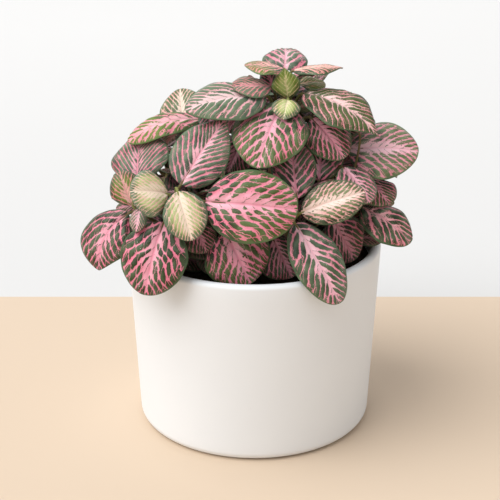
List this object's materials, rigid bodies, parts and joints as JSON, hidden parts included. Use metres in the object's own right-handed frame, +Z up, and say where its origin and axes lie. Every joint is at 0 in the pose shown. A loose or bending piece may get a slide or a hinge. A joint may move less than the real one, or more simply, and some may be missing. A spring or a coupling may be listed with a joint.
{
  "type": "potted nerve plant",
  "caption": "Bushy nerve plant with pink-veined green leaves on short stems, growing from soil in a plain round white ceramic pot.",
  "frame": {"origin": "centre of the pot's flat underside", "axes": "+Z up along the pot's axis, -Y towards the plant's front, +X to the right seen from the front"},
  "size_m": [0.1633, 0.1456, 0.189],
  "materials": {
    "ceramic": "matte white glaze",
    "soil": "loose dark peat",
    "stem": "fine downy green stalk",
    "leaf": "satin dark green leaf with a net of pink veins",
    "pale_leaf": "satin cream and pink young leaf with a green margin",
    "young_leaf": "satin lime leaf with pale veins"
  },
  "bodies": {
    "root": {"leaf_back_corner": "leaf", "leaf_back_far_left": "leaf", "leaf_back_far_right": "leaf", "leaf_back_left_high": "leaf", "leaf_back_left_up": "leaf", "leaf_back_low": "leaf", "leaf_back_low_left": "leaf", "leaf_back_low_right": "leaf", "leaf_back_mid": "leaf", "leaf_back_mid_left": "leaf", "leaf_back_mid_right": "leaf", "leaf_back_right_high": "leaf", "leaf_bud_down": "young_leaf", "leaf_bud_up": "young_leaf", "leaf_crown_back": "leaf", "leaf_crown_left": "leaf", "leaf_crown_low_left": "leaf", "leaf_crown_low_right": "leaf", "leaf_crown_right": "leaf", "leaf_deep_left": "leaf", "leaf_front": "leaf", "leaf_front_inner": "leaf", "leaf_front_left": "leaf", "leaf_front_low": "leaf", "leaf_front_right": "leaf", "leaf_inner_left": "leaf", "leaf_left_bud": "leaf", "leaf_left_hanging": "leaf", "leaf_left_mid": "leaf", "leaf_left_reach": "leaf", "leaf_left_small": "leaf", "leaf_left_tall": "leaf", "leaf_mid_right": "leaf", "leaf_mid_right_behind": "leaf", "leaf_pale_front": "pale_leaf", "leaf_pale_left": "pale_leaf", "leaf_pale_right": "pale_leaf", "leaf_right_hanging": "leaf", "leaf_right_inner": "leaf", "leaf_right_low": "leaf", "leaf_right_mid": "leaf", "leaf_right_reach": "leaf", "leaf_upper_back": "leaf", "leaf_upper_front": "leaf", "leaf_upper_left": "leaf", "leaf_upper_right": "leaf", "leaf_wing_left": "leaf", "leaf_wing_right": "leaf", "pot": "ceramic", "soil": "soil", "stem_back": "stem", "stem_back_left": "stem", "stem_back_right": "stem", "stem_crown": "stem", "stem_front": "stem", "stem_front_right": "stem", "stem_left": "stem", "stem_low_back": "stem", "stem_low_right": "stem", "stem_right": "stem"}
  },
  "joints": []
}
